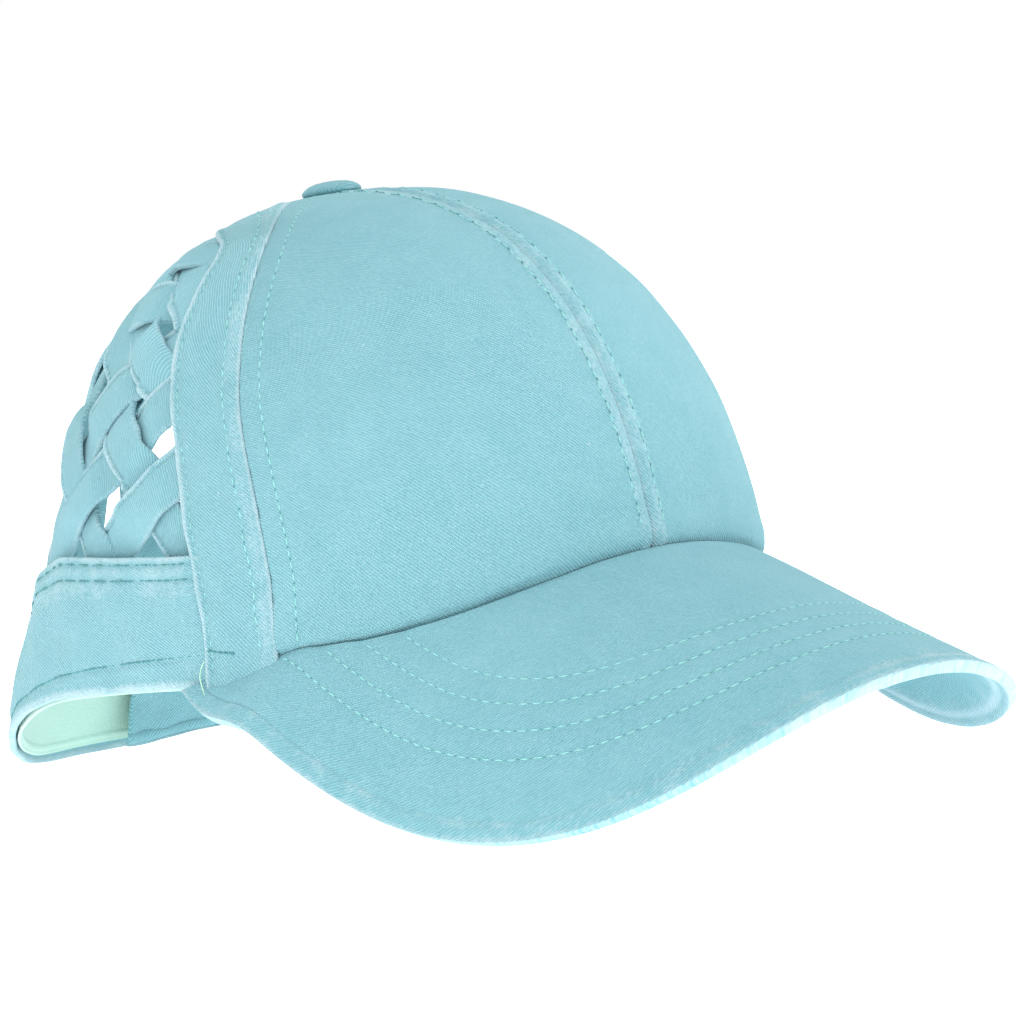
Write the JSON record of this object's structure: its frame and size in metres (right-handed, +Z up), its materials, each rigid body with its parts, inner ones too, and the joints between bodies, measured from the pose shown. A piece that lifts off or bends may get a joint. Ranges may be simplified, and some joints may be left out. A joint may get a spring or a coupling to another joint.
{
  "type": "ponytail baseball cap",
  "caption": "Soft twill cap with a curved peak, plain front crown, woven strap lattice open at the back and a hook-and-loop back band.",
  "frame": {"origin": "centre of the bounding box at its base, on the surface that the cap stands on", "axes": "+Z up, the peak towards -Y, the wearer's left towards +X"},
  "size_m": [0.1724, 0.2726, 0.1443],
  "materials": {
    "crown_twill": "washed cotton twill, matt",
    "brim_twill": "washed cotton twill over a board, matt",
    "band_twill": "washed cotton twill, matt",
    "strap_twill": "folded cotton twill straps, matt",
    "loop_pad": "napped loop fastener",
    "hook_pad": "hook fastener"
  },
  "bodies": {
    "root": {"front_panel_right": "crown_twill", "front_panel_left": "crown_twill", "arch_band": "crown_twill", "back_band_right": "band_twill", "back_band_left": "band_twill", "loop_pad": "loop_pad", "hook_pad": "hook_pad", "brim": "brim_twill", "button": "crown_twill", "strap_from_right_1": "strap_twill", "strap_from_left_1": "strap_twill", "strap_from_right_2": "strap_twill", "strap_from_left_2": "strap_twill", "strap_from_right_3": "strap_twill", "strap_from_left_3": "strap_twill", "strap_from_right_4": "strap_twill", "strap_from_left_4": "strap_twill", "strap_from_right_5": "strap_twill", "strap_from_left_5": "strap_twill", "strap_from_right_6": "strap_twill", "strap_from_left_6": "strap_twill", "strap_from_right_7": "strap_twill", "strap_from_left_7": "strap_twill", "strap_from_right_8": "strap_twill", "strap_from_left_8": "strap_twill"}
  },
  "joints": []
}
